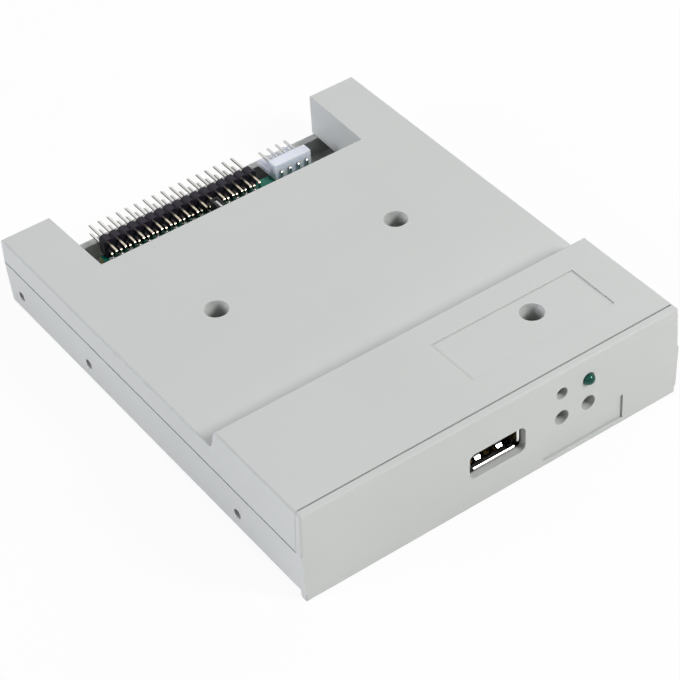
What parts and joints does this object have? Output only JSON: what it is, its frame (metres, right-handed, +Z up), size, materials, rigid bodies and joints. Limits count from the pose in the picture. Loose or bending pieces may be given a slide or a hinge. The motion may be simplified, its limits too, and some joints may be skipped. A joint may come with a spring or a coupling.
{
  "type": "floppy drive emulator",
  "caption": "Flat drive-bay case with a USB socket, status light and recessed push buttons in its front panel, and a pin header, jumper and power connector in a rear notch.",
  "frame": {"origin": "middle of the bounding box in its lowest plane, which is the lower edge of the front panel's lip", "axes": "+X to the right as seen from the front panel, +Y from the front panel to the rear, +Z up"},
  "size_m": [0.1016, 0.1224, 0.025],
  "materials": {
    "case_plastic": "fine moulded grain",
    "screw_steel": "zinc plated",
    "board_laminate": "solder mask",
    "nickel_plate": "bright plated sheet",
    "gold_plate": "flash plated",
    "tin_plate": "tin plated",
    "black_plastic": "moulded",
    "header_plastic": "glass-filled, moulded",
    "button_plastic": "moulded",
    "white_nylon": "moulded",
    "led_epoxy": "cast, tinted",
    "chip_epoxy": "moulded",
    "can_aluminium": "drawn can",
    "ceramic": "fired"
  },
  "bodies": {
    "case": {"lower_case": "case_plastic", "top_cover": "case_plastic", "case_screws": "screw_steel", "main_board": "board_laminate", "usb_shell": "nickel_plate", "usb_insulator": "black_plastic", "usb_contacts": "gold_plate", "status_led": "led_epoxy", "led_leads": "tin_plate", "switch_bases": "black_plastic", "switch_frames": "tin_plate", "switch_domes": "tin_plate", "switch_pins": "tin_plate", "header_body": "header_plastic", "header_upper_pins": "gold_plate", "header_lower_pins": "gold_plate", "power_housing": "white_nylon", "power_pins": "tin_plate", "jumper_base": "black_plastic", "jumper_posts": "gold_plate", "controller_chip": "chip_epoxy", "controller_leads": "tin_plate", "crystal": "nickel_plate", "voltage_regulator": "chip_epoxy", "regulator_leads": "tin_plate", "capacitor_cans": "can_aluminium", "capacitor_bases": "black_plastic", "chip_resistors": "chip_epoxy", "chip_capacitors": "ceramic"},
    "up_button": {"up_button": "button_plastic"},
    "down_button": {"down_button": "button_plastic"},
    "jumper_cap": {"jumper_cap": "black_plastic", "jumper_clip": "tin_plate"}
  },
  "joints": [
    {"name": "up_button_press", "type": "slide", "parent": "case", "child": "up_button", "axis": [0, 1, 0], "range_m": [0, 0.00025], "stiffness_N_per_m": 6400},
    {"name": "down_button_press", "type": "slide", "parent": "case", "child": "down_button", "axis": [0, 1, 0], "range_m": [0, 0.00025], "stiffness_N_per_m": 6400},
    {"name": "jumper_pull", "type": "slide", "parent": "case", "child": "jumper_cap", "axis": [0, 0, 1], "range_m": [0, 0.0045]}
  ]
}
